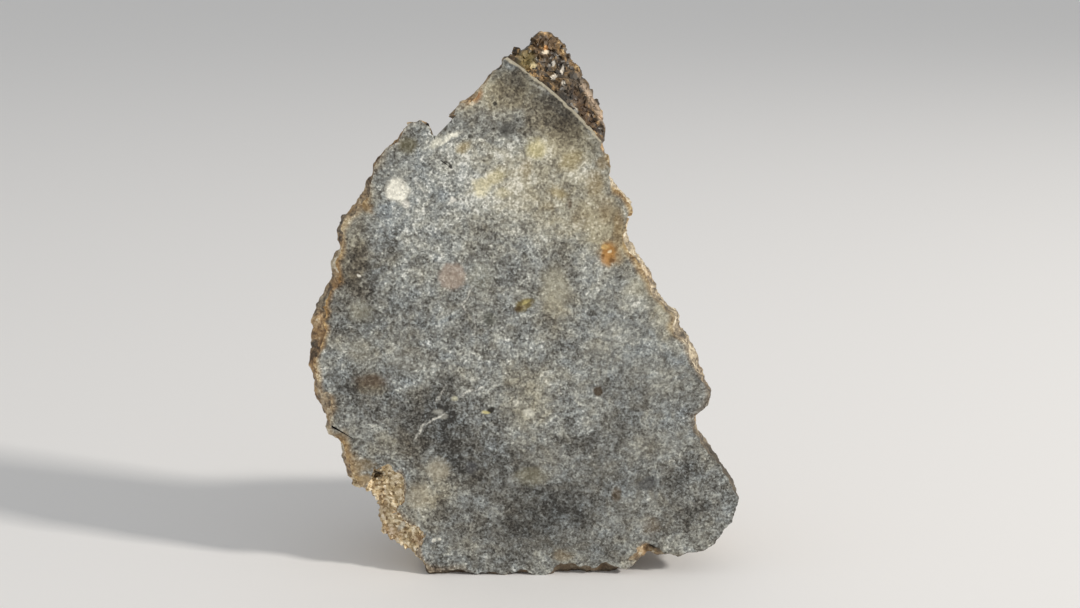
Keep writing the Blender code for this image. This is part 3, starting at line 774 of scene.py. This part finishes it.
def sawn_stone(stone):
    """Eucrite breccia, sawn and lapped: matt salt and pepper of crushed grains, with clasts in it."""
    finish = Finish("sawn eucrite breccia")
    wide_warp = warped(finish, 5.0, 2.2)
    close_warp = warped(finish, 0.9, 0.55)
    vein_warp = warped(finish, 0.9, 0.30)

    warmth = add_ovals(finish, MIDDLE_WARMTH, wide_warp, WARMTHS, WARMTH_EDGE)
    for size, amount in ((4.0, 0.8), (1.2, 0.7)):
        cloud = finish.add("TexNoise", {"Vector": wide_warp, "Scale": 1.0 / size, "Roughness": 0.6})
        warmth = swell(finish, cloud, amount, warmth)
    warmth = finish.add("Clamp", [warmth, 0.0, 1.0])

    tone = add_ovals(finish, MIDDLE_TONE, wide_warp, TONES_AND_LIP_SHADE, TONE_EDGE)
    for size, amount in ((8.0, 0.26), (2.6, 0.36)):
        cloud = finish.add("TexNoise", {"Vector": finish.place, "Scale": 1.0 / size, "Roughness": 0.6})
        tone = swell(finish, cloud, amount, tone)
    for size, amount in ((2.4, 0.20), (1.3, 0.15), (0.7, 0.10)):
        cells = finish.add("TexVoronoi", {"Vector": close_warp, "Scale": 1.0 / size}, pick="Color")
        tone = swell(finish, cells, amount, tone)

    # Salt and pepper, stronger in the cool grey parts than in the beige ones, and weak at the right and below
    contrast = finish.add("MapRange", [warmth, 0.0, 1.0, 1.25, 0.75])
    contrast = add_ovals(finish, contrast, wide_warp, CONTRASTS, TONE_EDGE)
    grains = finish.add("TexNoise", {"Vector": finish.place, "Scale": 1.0 / COARSE_GRAIN, "Detail": 1.8,
                                     "Roughness": 1.0, "Distortion": 0.4})
    salt = finish.add("TexVoronoi", {"Vector": finish.place, "Scale": 1.0 / FINE_GRAIN}, pick="Color")
    pepper = swell(finish, grains, 1.15, 0.0)
    pepper = swell(finish, salt, 0.36, pepper)
    tone = finish.add("Math", [pepper, contrast, tone], operation="MULTIPLY_ADD")

    cool = finish.add("ValToRGB", [tone], stops=[
        (0.05, "#333230"), (0.28, "#5e605f"), (0.5, "#80868a"), (0.72, "#a5acae"), (0.95, "#e0e3e3")])
    warm = finish.add("ValToRGB", [tone], stops=[
        (0.05, "#363028"), (0.28, "#645b4c"), (0.5, "#908873"), (0.72, "#bab39b"), (0.95, "#e8e3d2")])
    colour = finish.add("Mix", {"Factor": warmth, "A": cool, "B": warm}, data_type="RGBA")
    covered = 0.0
    for *spot, edge, strength, clast in CLASTS_AND_PAINTED_LIGHT:
        ragged = close_warp if max(spot[2:4]) > SMALL_CLAST else vein_warp
        oval = patch(finish, ragged, spot, edge)
        share = finish.add("Math", [oval, strength], operation="MULTIPLY")
        covered = finish.add("Math", [covered, share], operation="MAXIMUM")
        colour = finish.add("Mix", {"Factor": share, "A": colour, "B": clast}, data_type="RGBA")
    broken = finish.add("MapRange", [grains, 0.42, 0.56, 0.25, 1.0])
    for x0, z0, x1, z1, width, strength in VEINS:
        run = Vector((x1 - x0, z1 - z0))
        turn = math.degrees(math.atan2(run.y, run.x))
        middle = ((x0 + x1) / 2.0, (z0 + z1) / 2.0)
        oval = patch(finish, vein_warp, (*middle, run.length, width, turn), VEIN_EDGE)
        share = finish.add("Math", [oval, strength], operation="MULTIPLY")
        share = finish.add("Math", [share, broken], operation="MULTIPLY")
        colour = finish.add("Mix", {"Factor": share, "A": colour, "B": VEIN_COLOUR}, data_type="RGBA")

    # The weathering rind
    rind_place = finish.add("VectorMath", [wide_warp, (RIND_RAGGED,) * 3], operation="MULTIPLY")
    rind_place = finish.add("VectorMath", [finish.place, (1.0 - RIND_RAGGED,) * 3, rind_place],
                            operation="MULTIPLY_ADD")
    stained = rind(finish, rind_place, edge_of_cut(stone))
    ochre = finish.add("ValToRGB", [tone], stops=[
        (0.1, "#573f24"), (0.4, "#a07a44"), (0.65, "#c8a568"), (0.9, "#ead6a8")])
    colour = finish.add("Mix", {"Factor": stained, "A": colour, "B": ochre}, data_type="RGBA")

    # Painted highlight: a light line along the lip, where its raised edge catches the lamp
    lip_start = (LIP_LEFT.x, SAWN_PLANE, LIP_LEFT.y)
    from_lip = finish.add("VectorMath", [vein_warp, lip_start], operation="SUBTRACT")
    past = finish.add("VectorMath", [from_lip, (LIP_BEYOND.x, 0.0, LIP_BEYOND.y)], pick="Value",
                      operation="DOT_PRODUCT")
    along = finish.add("VectorMath", [from_lip, (LIP_ALONG.x / LIP_LENGTH, 0.0, LIP_ALONG.y / LIP_LENGTH)],
                       pick="Value", operation="DOT_PRODUCT")
    ahead = finish.add("Math", [1.0, along], operation="SUBTRACT")
    bulge = finish.add("Math", [along, ahead], operation="MULTIPLY", use_clamp=True)
    past = finish.add("Math", [bulge, -4.0 * LIP_BULGE, past], operation="MULTIPLY_ADD")
    share = finish.add("MapRange", [past, -LIP_HIGHLIGHT_WIDTH * 1.3, -LIP_HIGHLIGHT_WIDTH * 0.7, 0.0, 0.85],
                       interpolation_type="SMOOTHSTEP")
    colour = finish.add("Mix", {"Factor": share, "A": colour, "B": "#ddd3ba"}, data_type="RGBA")

    # Grain shows in the clasts and on the lip too
    clast_grain = finish.add("Math", [pepper, covered], operation="MULTIPLY")
    clast_grain = finish.add("Math", [clast_grain, 0.75, 1.0], operation="MULTIPLY_ADD")
    colour = finish.add("VectorMath", {"Vector": colour, "Scale": clast_grain}, operation="SCALE")
    grain_share = finish.add("MapRange", [salt, 0.0, 1.0, 0.85, 1.13])
    colour = finish.add("VectorMath", {"Vector": colour, "Scale": grain_share}, operation="SCALE")
    finish.tree.links.new(colour, finish.shader.inputs["Base Color"])
    finish.shader.inputs["Roughness"].default_value = 0.62
    finish.shader.inputs["Specular IOR Level"].default_value = 0.35
    bump = finish.add("Bump", {"Strength": 0.35, "Distance": 0.05 * MM, "Height": grains})
    finish.tree.links.new(bump, finish.shader.inputs["Normal"])
    return finish.material


# Ovals of the weathered outside, seen from the front: x, z, width, height, turn
LOBE = (22.0, 6.0, 15.0, 23.0, 0)     # the lobe at the right, where the stone is worn dark by the cut
FLANK = (16.5, 30.0, 10.0, 26.0, 25)  # the side above it, with less rust by the cut
HOLE_SHADE = (13.7, 3.3, 1.3, 0.9, 0)       # painted shade in a hole in the foot
FADING_DEPTH = (-1.5, 2.5)            # what is by the cut fades out between these depths
DARKER_FOOT_HEIGHT = (1.5, 3.2)            # the foot is darker towards the bottom, fading out between these heights


def weathered_stone():
    """The outside that lay in the open: brown grey, with ochre and tan rust stains and some glassy grains."""
    finish = Finish("weathered eucrite")
    close_warp = warped(finish, 0.8, 0.5)
    cloud = finish.add("TexNoise", {"Vector": finish.place, "Scale": 1.0 / WEATHERED_LUMP, "Detail": 3.0,
                                    "Roughness": 0.7})
    grains = finish.add("TexNoise", {"Vector": finish.place, "Scale": 1.0 / WEATHERED_GRAIN, "Detail": 2.5,
                                     "Roughness": 0.9})
    cells = finish.add("TexVoronoi", {"Vector": close_warp, "Scale": 1.0 / WEATHERED_CRYSTAL}, pick="Color")
    tone = swell(finish, cloud, 1.3, 0.5)
    tone = swell(finish, grains, 1.3, tone)
    tone = swell(finish, cells, 0.35, tone)
    rusty = finish.add("ValToRGB", [tone], stops=[
        (0.1, "#43342a"), (0.35, "#836749"), (0.55, "#b08d62"), (0.72, "#ceb38a"), (0.92, "#eee2ca")])
    earthy = finish.add("ValToRGB", [tone], stops=[
        (0.1, "#34302b"), (0.35, "#685e51"), (0.55, "#9a8d79"), (0.72, "#c0b39b"), (0.92, "#e8e0cc")])
    rusting = finish.add("TexNoise", {"Vector": close_warp, "Scale": 1.0 / RUST_PATCH, "Detail": 3.0,
                                      "Roughness": 0.6})
    rust = finish.add("MapRange", [rusting, 0.38, 0.6, 0.0, 0.9])
    lobe = patch(finish, close_warp, LOBE, 0.35)
    depth = finish.add("SeparateXYZ", [close_warp], pick="Y")
    by_the_cut = finish.add("MapRange", [depth, *FADING_DEPTH, 1.0, 0.0])
    lobe = finish.add("Math", [lobe, by_the_cut], operation="MULTIPLY")
    rust = finish.add("Math", [lobe, -0.8, rust], operation="MULTIPLY_ADD", use_clamp=True)
    flank = patch(finish, close_warp, FLANK, 0.4)
    flank = finish.add("Math", [flank, by_the_cut], operation="MULTIPLY")
    rust = finish.add("Math", [flank, -0.6, rust], operation="MULTIPLY_ADD", use_clamp=True)
    colour = finish.add("Mix", {"Factor": rust, "A": earthy, "B": rusty}, data_type="RGBA")
    worn = finish.add("Math", [lobe, 0.8], operation="MULTIPLY")
    colour = finish.add("Mix", {"Factor": worn, "A": colour, "B": "#3f3a34"}, data_type="RGBA")
    # Painted shade in the hole in the foot
    hole_shade = patch(finish, close_warp, HOLE_SHADE, 0.5)
    colour = finish.add("Mix", {"Factor": hole_shade, "A": colour, "B": "#2d241a"}, data_type="RGBA")
    # The foot is darker towards the bottom
    height = finish.add("SeparateXYZ", [close_warp], pick="Z")
    under = finish.add("MapRange", [height, *DARKER_FOOT_HEIGHT, 0.75, 0.0])
    colour = finish.add("Mix", {"Factor": under, "A": colour, "B": "#453c32"}, data_type="RGBA")
    finish.tree.links.new(colour, finish.shader.inputs["Base Color"])
    gloss = finish.add("MapRange", [cells, 0.7, 0.95, 0.72, 0.35])
    finish.tree.links.new(gloss, finish.shader.inputs["Roughness"])
    bump = finish.add("Bump", {"Strength": 0.6, "Distance": 0.12 * MM, "Height": grains})
    finish.tree.links.new(bump, finish.shader.inputs["Normal"])
    return finish.material


def crystalline(name, size, stops, patches):
    """Broken crystals: each grain has its own tone and its own gloss, and patches have their own colour, some
    of them painted highlights and painted shade.
    """
    finish = Finish(name)
    ragged = warped(finish, 0.9, 0.35)
    cells = finish.add("TexVoronoi", {"Vector": finish.place, "Scale": 1.0 / size}, pick="Color")
    cloud = finish.add("TexNoise", {"Vector": finish.place, "Scale": 1.0 / (size * 1.8), "Detail": 3.0,
                                    "Roughness": 0.9})
    tone = swell(finish, cloud, 1.5, 0.46)
    tone = swell(finish, cells, 0.75, tone)
    colour = finish.add("ValToRGB", [tone], stops=stops)
    for *spot, edge, strength, shade_of in patches:
        oval = patch(finish, ragged, spot, edge)
        share = finish.add("Math", [oval, strength], operation="MULTIPLY")
        colour = finish.add("Mix", {"Factor": share, "A": colour, "B": shade_of}, data_type="RGBA")
    grain_share = finish.add("MapRange", [tone, 0.0, 1.0, 0.7, 1.3])
    colour = finish.add("VectorMath", {"Vector": colour, "Scale": grain_share}, operation="SCALE")
    finish.tree.links.new(colour, finish.shader.inputs["Base Color"])
    gloss = finish.add("MapRange", [cells, 0.2, 0.8, 0.35, 0.7])
    finish.tree.links.new(gloss, finish.shader.inputs["Roughness"])
    bump = finish.add("Bump", {"Strength": 0.4, "Distance": 0.06 * MM, "Height": cloud})
    finish.tree.links.new(bump, finish.shader.inputs["Normal"])
    return finish.material


# Patches of the broken stone beyond the lip, in the same order as the clasts: olive, brown, dark pyroxene,
# the pale weathered edge at the right, painted lighter where it faces the lamp, and painted highlights of
# glinting cleavage faces
BREAK_PATCHES_AND_GLINTS = [
    (0.2, 54.9, 1.9, 1.6, 0, 0.5, 0.65, "#807244"),
    (2.0, 56.4, 2.0, 2.6, 0, 0.5, 0.5, "#624a30"),
    (3.3, 53.9, 2.2, 1.8, 0, 0.5, 0.55, "#2c2928"),
    (4.5, 51.6, 2.6, 3.6, -30, 0.5, 0.55, "#4c4a47"),
    (5.9, 50.2, 5.0, 1.0, -60, 0.5, 0.5, "#56402f"),
    # The pale edge at the right: weathered stone, and painted lighter as a highlight where it faces the lamp
    (7.1, 50.3, 6.0, 0.6, -60, 0.5, 0.7, "#cdb8a2"),
    (1.9, 57.5, 0.8, 0.6, 0, 0.5, 0.75, "#d0b084"),
    # From here on, painted highlights: glints off single cleavage faces
    (2.1, 55.6, 0.6, 0.4, 0, 0.4, 0.75, "#fbeed8"),
    (2.9, 54.5, 0.4, 0.6, 0, 0.4, 0.65, "#f4efe6"),
    (3.8, 53.8, 0.35, 0.8, 0, 0.4, 0.75, "#f6efe4"),
    (2.9, 53.2, 0.7, 0.35, 30, 0.4, 0.7, "#f7f0e4"),
    (0.9, 54.4, 0.6, 0.55, 0, 0.4, 0.85, "#e0d0a5"),
    (3.9, 52.6, 0.4, 0.4, 0, 0.4, 0.6, "#e9e4da"),
    (5.1, 50.0, 0.6, 0.3, 0, 0.4, 0.8, "#d9d5c9"),
    (2.2, 56.0, 0.5, 0.4, 0, 0.4, 0.8, "#d79e5e"),
]

# Patches of the scoop: painted shade in the hollow under its arch, rust towards its edge, and a white streak
SCOOP_PATCHES_AND_SHADE = [
    (-15.9, 11.3, 1.5, 0.9, 0, 0.6, 0.7, "#3c2e1f"),
    (-15.3, 8.0, 1.0, 4.0, 0, 0.6, 0.35, "#96703f"),
    (-14.3, 4.6, 2.4, 1.2, -30, 0.6, 0.4, "#96683a"),
    (-13.3, 5.5, 0.5, 1.6, -30, 0.5, 0.5, "#dfe0da"),
    (-11.3, 4.0, 1.4, 1.4, 0, 0.5, 0.45, "#8a5d30"),
]


def broken_stone():
    """Coarse stone broken open beyond the lip: dark brown pyroxene with olive and tan grains, and painted
    glints off single faces.
    """
    return crystalline("broken crystalline eucrite", BREAK_GRAIN, [
        (0.1, "#1d1712"), (0.4, "#403220"), (0.62, "#67533a"), (0.84, "#927650"), (1.0, "#cab58b"),
    ], BREAK_PATCHES_AND_GLINTS)


def rusted_stone():
    """Small crystals in the scoop, all stained: tan and ochre with light glints."""
    return crystalline("rust stained crystals", SCOOP_GRAIN, [
        (0.05, "#866a48"), (0.3, "#b29a72"), (0.5, "#d3c09c"), (0.75, "#e7dac0"), (0.95, "#f5eddc"),
    ], SCOOP_PATCHES_AND_SHADE)


def crack_painted_shade():
    """Painted shade in the cracks: near black, so that they read as cracks."""
    finish = Finish("painted shade in the cracks")
    finish.shader.inputs["Base Color"].default_value = linear("#1c1814")
    finish.shader.inputs["Roughness"].default_value = 0.9
    finish.shader.inputs["Specular IOR Level"].default_value = 0.2
    return finish.material


def in_crack(place):
    """True on the walls of a crack."""
    for start, end, width, depth in CRACKS:
        run = Vector(end) - Vector(start)
        from_start = Vector((place.x, place.z)) - Vector(start)
        along = from_start.dot(run) / run.length
        aside = abs(from_start.x * run.y - from_start.y * run.x) / run.length
        if 0.0 < along < run.length + CRACK_MARGIN and aside < width and place.y < SAWN_PLANE + depth:
            return True
    return False


def lay_materials(stone):
    """Gives each face its material, by where it lies."""
    stone.data.materials.clear()
    for material in (weathered_stone(), sawn_stone(stone), broken_stone(), rusted_stone(), crack_painted_shade()):
        stone.data.materials.append(material)
    for face in stone.data.polygons:
        place = face.center / MM
        if on_saw_cut(place, face.normal):
            face.material_index = SAWN
        # The walls of the cracks get painted shade
        elif in_crack(place):
            face.material_index = CRACK_SHADE
        elif past_lip(place.x, place.z) > BREAK_FROM and place.y < BREAK_BACK:
            face.material_index = BROKEN
        elif in_scoop(place):
            face.material_index = CRUSTED
        else:
            face.material_index = WEATHERED


def stand_flat(stone):
    """Cuts the stone off level where it rests."""
    only(stone)
    bpy.ops.object.mode_set(mode="EDIT")
    bpy.ops.mesh.select_all(action="SELECT")
    bpy.ops.mesh.bisect(plane_co=(0.0, 0.0, 0.0), plane_no=(0.0, 0.0, -1.0), use_fill=True,
                        clear_outer=True, threshold=ON_PLANE * MM)
    bpy.ops.object.mode_set(mode="OBJECT")


def on_break(place, normal):
    """True on the front of the broken stone beyond the lip."""
    return past_lip(place.x, place.z) > BREAK_CRYSTALS_FROM and normal.y < BREAK_FORWARD


def in_scoop_front(place, normal):
    """True on the front of the scoop."""
    return in_scoop(place) and normal.y < SCOOP_FORWARD


stone = grown_block()
weather(stone)
for start, end, width in NICKS:
    take_away(stone, wedge("nick", start, end, width, NICK_DEPTH, narrowing=1.0, fall=FALL_BEHIND))
for place, size, turn in JUTTING_GRAINS:
    grow_together(stone, jutting_grain(place, size, turn))
crust(stone, "break crystals", on_break, *BREAK_CRUST)
crust(stone, "scoop crystals", in_scoop_front, *SCOOP_CRUST)
take_away(stone, saw_cut())
for start, end, width, depth in CRACKS:
    take_away(stone, wedge("crack", start, end, width, depth, CRACK_NARROWING))
stand_flat(stone)
shade(stone)
lay_materials(stone)
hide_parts("meteorite")
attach(stone, "root")

FLOOR_SIZE = 12.0  # metres
bpy.ops.mesh.primitive_plane_add(size=FLOOR_SIZE, location=(0.0, 0.0, 0.0))
floor = bpy.context.active_object
floor.name = "floor"
floor_finish = Finish("pale matt floor")
floor_finish.shader.inputs["Base Color"].default_value = linear("#ececef")
floor_finish.shader.inputs["Roughness"].default_value = 0.85
floor_finish.shader.inputs["Specular IOR Level"].default_value = 0.2
floor.data.materials.append(floor_finish.material)

# The camera looks straight at the sawn face and 13 degrees down, from close by
CAMERA_PLACE = Vector((1.55, -156.2, 64.87))
CAMERA_PITCH = 13.0
CAMERA_LENS = 50.0
CAMERA_SENSOR = 36.0
camera_data = bpy.data.cameras.new("camera")
camera_data.lens = CAMERA_LENS
camera_data.sensor_width = CAMERA_SENSOR
camera_data.clip_start = 5.0 * MM
camera = bpy.data.objects.new("camera", camera_data)
camera.location = CAMERA_PLACE * MM
camera.rotation_euler = (math.radians(90.0 - CAMERA_PITCH), 0.0, 0.0)
bpy.context.scene.collection.objects.link(camera)
bpy.context.scene.camera = camera

# One soft lamp at the right, a little behind the camera's side, and even light from all round
LAMP_TOWARDS = Vector((0.775, -0.345, 0.530))
LAMP_DISTANCE = 0.8  # metres
LAMP_SIZE = 0.08
LAMP_POWER = 4.6     # watts
LAMP_COLOUR = (1.0, 0.94, 0.84)
SKY_COLOUR = (1.0, 1.0, 0.97, 1.0)
SKY_STRENGTH = 0.53
lamp_data = bpy.data.lights.new("window light", "AREA")
lamp_data.size = LAMP_SIZE
lamp_data.energy = LAMP_POWER
lamp_data.color = LAMP_COLOUR
lamp = bpy.data.objects.new("window light", lamp_data)
lamp.location = LAMP_TOWARDS * LAMP_DISTANCE
lamp.rotation_euler = LAMP_TOWARDS.to_track_quat("Z", "Y").to_euler()
bpy.context.scene.collection.objects.link(lamp)

world = bpy.data.worlds.new("studio")
bpy.context.scene.world = world
world.use_nodes = True
world.node_tree.nodes["Background"].inputs["Color"].default_value = SKY_COLOUR
world.node_tree.nodes["Background"].inputs["Strength"].default_value = SKY_STRENGTH
bpy.context.scene.view_settings.view_transform = "Standard"
